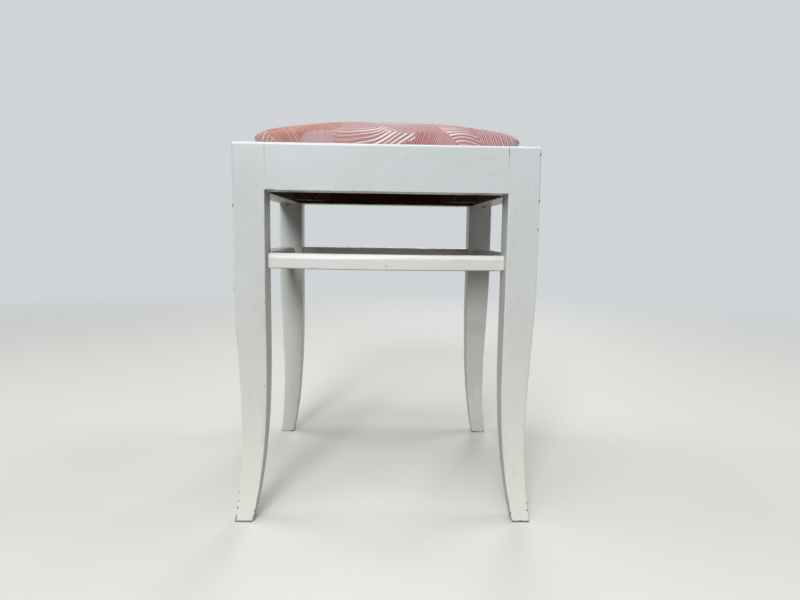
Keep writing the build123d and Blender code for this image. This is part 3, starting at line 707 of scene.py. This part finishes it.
def seat_fabric():
    """Ribbed furnishing cloth in dusty rose, printed with patches of combed arcs that lie in all directions."""
    graph = new_material("seat_fabric")
    flat = graph.node("ShaderNodeAttribute", attribute_name="flat_cloth").outputs["Vector"]
    cloth = graph.vector("ADD", flat, PRINT_SHIFT)

    # patches with wavy outlines, each with its own turn, line and ground
    swirl = graph.scaled(graph.wander(cloth, 13.0, 1.0), 0.1)
    wavy = graph.vector("ADD", cloth, swirl)
    inputs = {"Vector": wavy, "Scale": 1 / PATCH_SIZE, "Randomness": 0.85}
    patch = graph.node("ShaderNodeTexVoronoi", inputs, voronoi_dimensions="2D")
    picks = graph.split(patch.outputs["Color"])
    bent = graph.vector("ADD", cloth, graph.scaled(swirl, 0.25))
    inputs = {"Vector": graph.vector("SUBTRACT", bent, patch.outputs["Position"])}
    inputs["Angle"] = graph.times(picks[0], 2 * math.pi)
    turned = graph.node("ShaderNodeVectorRotate", inputs, rotation_type="Z_AXIS").outputs[0]
    arc = graph.vector("LENGTH", graph.vector("SUBTRACT", turned, (ARC_CENTRE, 0.0, 0.0)))
    sweep = graph.step(graph.split(turned)[1], -0.6 * PATCH_SIZE, 0.4 * PATCH_SIZE)

    def lines(pitch, shift, thick, thin):
        """Mask of the arcs of a patch, thinning along their sweep."""
        count = graph.plus(graph.math("DIVIDE", arc, pitch), shift)
        off = graph.size(graph.minus(graph.math("FRACT", count), 0.5))
        inputs = {"W": graph.plus(graph.math("FLOOR", count), graph.times(picks[2], 50.0))}
        stroke = graph.node("ShaderNodeTexWhiteNoise", inputs, noise_dimensions="1D")
        half = graph.remap(sweep, 0.0, 1.0, thick / 2, thin / 2)
        half = graph.times(half, graph.remap(stroke.outputs["Value"], 0.0, 1.0, 0.45, 1.2))
        return graph.step(graph.minus(off, half), 0.06, -0.06)

    clouds = graph.noise(cloth, 26.0, 3.0, 0.55)
    strokes = graph.noise(graph.vector("MULTIPLY", cloth, (60.0, 420.0, 1.0)), 1.0)
    colour = graph.mix(graph.step(clouds, 0.35, 0.68), ROSE, DEEP_ROSE)
    colour = graph.tint(colour, graph.step(strokes, 0.5, 0.75), 0.35, CORAL)
    for low, ground, share in GROUNDS:
        colour = graph.tint(colour, graph.above(picks[2], low), share, ground)
    rim = graph.step(arc, ARC_CENTRE, 1.85 * PATCH_SIZE)
    colour = graph.tint(colour, rim, 0.7, DEEP_ROSE)

    # a patch has either fine pale lines or bold white ones with shadows and finer lines between
    bold = graph.above(picks[1], BOLD_FROM)
    fine_lines = graph.times(graph.minus(1.0, bold), lines(FINE_PITCH, 0.0, 0.55, 0.22))
    pale = graph.mix(graph.above(picks[0], 0.5), CREAM, PALE_MAUVE)
    colour = graph.tint(colour, fine_lines, 0.85, pale)
    colour = graph.tint(colour, bold, 0.35, MAUVE)
    for pitch, shift, thick, thin, share, tone in (
        (BOLD_PITCH, 0.45, 0.3, 0.12, 0.7, DUSK),
        (BOLD_PITCH / 3, 0.0, 0.4, 0.3, 0.45, CREAM),
        (BOLD_PITCH, 0.0, 0.5, 0.1, 0.92, WHITE),
    ):
        drawn = graph.times(bold, lines(pitch, shift, thick, thin))
        colour = graph.tint(colour, drawn, share, tone)

    # painted sheen and shade: the crown duller and tan towards its top
    height = graph.split(graph.place())[Z]
    colour = graph.tint(colour, graph.step(height, RIM + 12 * MM, RIM + 38 * MM), 0.35, CROWN_SHEEN)

    # rep weave: fine ribs across, threads along them
    rib = graph.size(graph.math("SINE", graph.times(graph.split(cloth)[1], math.pi / RIB_PITCH)))
    thread = graph.noise(graph.vector("MULTIPLY", cloth, (420.0, 1500.0, 1.0)), 1.0, 1.0, 0.5)
    shade = graph.plus(graph.times(rib, 0.55), graph.times(thread, 0.45))
    colour = graph.tint(colour, graph.step(shade, 0.75, 0.2), 0.25, WEAVE_SHADE)
    return graph.surface(
        Base_Color=colour,
        Roughness=graph.remap(thread, 0.3, 0.7, 0.7, 0.85),
        Sheen_Weight=0.25,
        Sheen_Roughness=0.4,
        Normal=graph.bump(shade, 0.16 * MM),
    )


PRESS_FRAMES = 20


def press_out(piece, pressure):
    """Simulate the cover as cloth pressed out by its stuffing, held where it is tacked and by its edge."""
    scene = bpy.context.scene
    mesh = piece.data
    start = np.array([v.co for v in mesh.vertices])
    held = piece.vertex_groups.new(name="held")
    edge = RIM + PAD_EDGE + 0.5 * MM
    held.add([v.index for v in mesh.vertices if v.co.z < edge], 1.0, "REPLACE")
    cloth = piece.modifiers.new("cover", "CLOTH")
    settings = cloth.settings
    settings.vertex_group_mass = "held"
    settings.quality = 6
    settings.mass = 0.3
    settings.tension_stiffness = settings.compression_stiffness = 40
    settings.shear_stiffness = 8
    settings.bending_stiffness = 1.0
    settings.use_pressure = True
    settings.uniform_pressure_force = pressure
    settings.effector_weights.gravity = 0.0
    for step in range(1, PRESS_FRAMES + 1):
        scene.frame_set(step)
    settled = piece.evaluated_get(bpy.context.evaluated_depsgraph_get())
    moved = np.array([v.co for v in settled.data.vertices]) - start
    piece.modifiers.remove(cloth)
    piece.vertex_groups.remove(held)
    scene.frame_set(1)
    far = np.linalg.norm(moved, axis=1, keepdims=True)
    moved *= PAD_SWELL * np.tanh(far / PAD_SWELL) / np.maximum(far, 1e-9)
    mesh.vertices.foreach_set("co", (start + moved).ravel())
    mesh.update()


cushion_points, cushion_faces, cushion_flats = cushion_mesh()
cushion = mesh_piece("seat_cushion", cushion_points, cushion_faces, seat_fabric())
flat_cloth = cushion.data.attributes.new("flat_cloth", "FLOAT_VECTOR", "POINT")
flat_places = np.array([(u, v, 0.0) for u, v in cushion_flats], np.float32)
flat_cloth.data.foreach_set("vector", flat_places.ravel())
press_out(cushion, pressure=2.0)
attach(cushion, "seat")
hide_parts("seat_cover", "wadding", "stuffing")


# Bottom cloth, hessian and webbing

SAG_POWER = 1.3                # above 1, the sag starts gently at the edges
CLOTH_SAG = 4 * MM
CLOTH_QUADS, HESSIAN_QUADS, STRAP_QUADS = 60, 30, 146


def cloth_sheet(name, low, high, sag, count, material):
    """A thin sheet that fills a flat box, sagging towards the middle."""
    points, faces = [], []
    for level in (low.z, high.z):
        for i in range(count + 1):
            for j in range(count + 1):
                s, t = i / count, j / count
                fall = sag * (math.sin(math.pi * s) * math.sin(math.pi * t)) ** SAG_POWER
                points.append((low.x + (high.x - low.x) * s, low.y + (high.y - low.y) * t, level - fall))
    layer = (count + 1) ** 2

    def at(i, j):
        return i * (count + 1) + j

    for i in range(count):
        for j in range(count):
            quad = (at(i, j), at(i, j + 1), at(i + 1, j + 1), at(i + 1, j))
            faces.append(quad)
            faces.append(tuple(layer + k for k in reversed(quad)))
    rim = [at(i, 0) for i in range(count)] + [at(count, j) for j in range(count)]
    rim += [at(i, count) for i in range(count, 0, -1)] + [at(0, j) for j in range(count, 0, -1)]
    faces += [(rim[k - 1], rim[k], layer + rim[k], layer + rim[k - 1]) for k in range(len(rim))]
    return mesh_piece(name, points, faces, material)


black_cotton = woven("black_cotton", 0.9 * MM, rgb(14, 14, 15), rgb(44, 43, 44), 0.9)
bottom_cloth = cloth_sheet(
    "bottom_cover", CLOTH_LOW, CLOTH_HIGH, CLOTH_SAG, CLOTH_QUADS, black_cotton
)
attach(bottom_cloth, "seat")
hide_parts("bottom_cloth")

open_jute = woven("open_jute", 1.6 * MM, rgb(96, 72, 46), rgb(176, 146, 104), 0.95)
hessian = cloth_sheet("hessian_cover", HESSIAN_LOW, HESSIAN_HIGH, 0.0, HESSIAN_QUADS, open_jute)
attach(hessian, "seat")
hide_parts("hessian")

STRAP_WIDTH = 50 * MM
STRAP_THICKNESS = STRAP_HIGH.z - STRAP_LOW.z
STRAP_PITCH = STRAP_HIGH.x - STRAP_WIDTH / 2
STRAP_END = STRAP_HIGH.y
STRAP_RAMP = 6 * MM            # run in which a strap climbs over another


def strap(name, axis, number, material):
    """One strap of the seat webbing, over and under the straps that cross it."""
    flip = 1 if axis == X else -1
    bottom, top = [], []
    for i in range(STRAP_QUADS + 1):
        run = -STRAP_END + 2 * STRAP_END * i / STRAP_QUADS
        lift = 0.0
        for crossing in (-1, 0, 1):
            over = (crossing + number) % 2 == (0 if axis == X else 1)
            near = abs(run - crossing * STRAP_PITCH)
            ease = min(max((STRAP_WIDTH / 2 + STRAP_RAMP - near) / STRAP_RAMP, 0.0), 1.0)
            lift += (STRAP_THICKNESS if over else 0.0) * ease * ease * (3 - 2 * ease)
        for side in (-1, 1):
            across = number * STRAP_PITCH + side * STRAP_WIDTH / 2
            x, y = (run, across) if axis == X else (across, run)
            bottom.append((x, y, STRAP_LOW.z + lift))
            top.append((x, y, STRAP_LOW.z + lift + STRAP_THICKNESS))
    layer = len(bottom)
    faces = []
    for i in range(STRAP_QUADS):
        a, b, c, d = 2 * i, 2 * i + 1, 2 * i + 3, 2 * i + 2
        faces.append((a, b, c, d)[::-flip])
        faces.append(tuple(layer + k for k in (a, b, c, d))[::flip])
        faces.append((a, d, layer + d, layer + a)[::flip])
        faces.append((b, c, layer + c, layer + b)[::-flip])
    last = 2 * STRAP_QUADS
    faces.append((0, 1, layer + 1, layer)[::-flip])
    faces.append((last, last + 1, layer + last + 1, layer + last)[::flip])
    return mesh_piece(name, bottom + top, faces, material)


jute = woven("jute_webbing", 1.3 * MM, rgb(86, 62, 38), rgb(168, 136, 92), 0.92)
for axis, node, word in ((Y, "webbing_front_to_back", "long"), (X, "webbing_side_to_side", "cross")):
    for number, label in ((-1, "first"), (0, "middle"), (1, "last")):
        piece = strap(f"webbing_{word}_{label}", axis, number, jute)
        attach(piece, "seat")
        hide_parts(node)


# Stage, lights and camera

BACKGROUND = rgb(208, 212, 214)
FLOOR_SEEN = rgb(216, 213, 208)
FLOOR_BOUNCE = rgb(74, 54, 32)              # what the floor throws back on the stool
FLOOR_FADE = (0.9, 3.0)                     # distances between which it fades into the background
FLOOR_RINGS = (0.6, 1.5, 3.0, 30.0)
FLOOR_SIDES = 96


def seen_directly(graph):
    """1 for what the camera sees itself, through glass or in a gloss, 0 for light that bounces on."""
    path = graph.node("ShaderNodeLightPath").outputs
    seen = graph.larger(path["Is Camera Ray"], path["Is Transmission Ray"])
    return graph.larger(seen, path["Is Glossy Ray"])


def floor_material():
    """Plain pale floor that fades into the background away from the stool."""
    graph = new_material("floor_pale")
    seen = seen_directly(graph)
    away = graph.vector("LENGTH", graph.place())
    near = graph.principled(Base_Color=graph.mix(seen, FLOOR_BOUNCE, FLOOR_SEEN), Roughness=0.75)
    far = graph.node("ShaderNodeEmission", {"Color": BACKGROUND, "Strength": 1.0}).outputs[0]
    graph.show(graph.blend(graph.times(seen, graph.step(away, *FLOOR_FADE)), near, far))
    return graph.owner


floor_ring = []
for radius in FLOOR_RINGS:
    for k in range(FLOOR_SIDES):
        angle = 2 * math.pi * k / FLOOR_SIDES
        floor_ring.append((radius * math.cos(angle), radius * math.sin(angle), 0.0))
floor_points = floor_ring + [(0.0, 0.0, 0.0)]
floor_faces = [(len(floor_ring), k, (k + 1) % FLOOR_SIDES) for k in range(FLOOR_SIDES)]
for row in range(len(FLOOR_RINGS) - 1):
    for k in range(FLOOR_SIDES):
        a, b = row * FLOOR_SIDES + k, row * FLOOR_SIDES + (k + 1) % FLOOR_SIDES
        floor_faces.append((a, a + FLOOR_SIDES, b + FLOOR_SIDES, b))
floor = mesh_piece("floor", floor_points, floor_faces, floor_material())

COOL, WARM = (0.96, 0.985, 1.0), (1.0, 0.98, 0.95)
AMBIENT = (1.0, 0.98, 0.95, 1.0)
AMBIENT_STRENGTH = 0.04
# Lamps: name, place, height aimed at over the origin, side of the square, watts, colour
LAMPS = (
    ("key", (-0.75, -3.6, 2.2), 0.25, 1.1, 108, COOL),
    ("side", (2.6, -2.0, 1.0), 0.3, 1.0, 8, WARM),
    ("top", (-0.3, -0.9, 2.7), 0.3, 1.6, 33, COOL),
    ("back", (0.6, 3.4, 1.9), 0.3, 1.6, 50, COOL),
    ("high_left", (-2.4, 0.5, 2.9), 0.3, 1.6, 30, COOL),
    ("high_right", (2.4, 0.5, 2.9), 0.3, 1.6, 30, COOL),
)
for name, place, aim, size, watts, colour in LAMPS:
    lamp_data = bpy.data.lights.new(name, "AREA")
    lamp_data.shape = "RECTANGLE"
    lamp_data.size = lamp_data.size_y = size
    lamp_data.energy = watts
    lamp_data.color = colour
    lamp = bpy.data.objects.new(name, lamp_data)
    lamp.location = place
    lamp.rotation_euler = (Vector((0, 0, aim)) - Vector(place)).to_track_quat("-Z", "Y").to_euler()
    bpy.context.scene.collection.objects.link(lamp)

world = bpy.data.worlds.new("studio")
bpy.context.scene.world = world
sky = Graph(world)
ambient = sky.node("ShaderNodeBackground", {"Color": AMBIENT, "Strength": AMBIENT_STRENGTH})
backdrop = sky.node("ShaderNodeBackground", {"Color": BACKGROUND, "Strength": 1.0})
sky_seen = sky.blend(seen_directly(sky), ambient.outputs[0], backdrop.outputs[0])
sky.show(sky_seen, "ShaderNodeOutputWorld")

# Camera as fitted to the photograph: to the right, downwards and turned, in degrees
CAMERA_PLACE = (-0.0035, -0.8930, 0.3551)
CAMERA_TURNS = (1.633, 6.298, -0.818)
CAMERA_SENSOR, CAMERA_LENS = 36.0, 27.13

camera_data = bpy.data.cameras.new("camera")
camera_data.sensor_width = CAMERA_SENSOR
camera_data.lens = CAMERA_LENS
camera_data.clip_start = 0.01
camera = bpy.data.objects.new("camera", camera_data)
bpy.context.scene.collection.objects.link(camera)
yaw, pitch, roll = (math.radians(turn) for turn in CAMERA_TURNS)
ahead = Vector((math.sin(yaw) * math.cos(pitch), math.cos(yaw) * math.cos(pitch), -math.sin(pitch)))
level_right = Vector((math.cos(yaw), -math.sin(yaw), 0.0))
level_down = ahead.cross(level_right)
right = math.cos(roll) * level_right + math.sin(roll) * level_down
down = -math.sin(roll) * level_right + math.cos(roll) * level_down
turned = Matrix((right, -down, -ahead)).transposed().to_4x4()
camera.matrix_world = Matrix.Translation(CAMERA_PLACE) @ turned
bpy.context.scene.camera = camera

bpy.context.scene.view_settings.view_transform = "Standard"
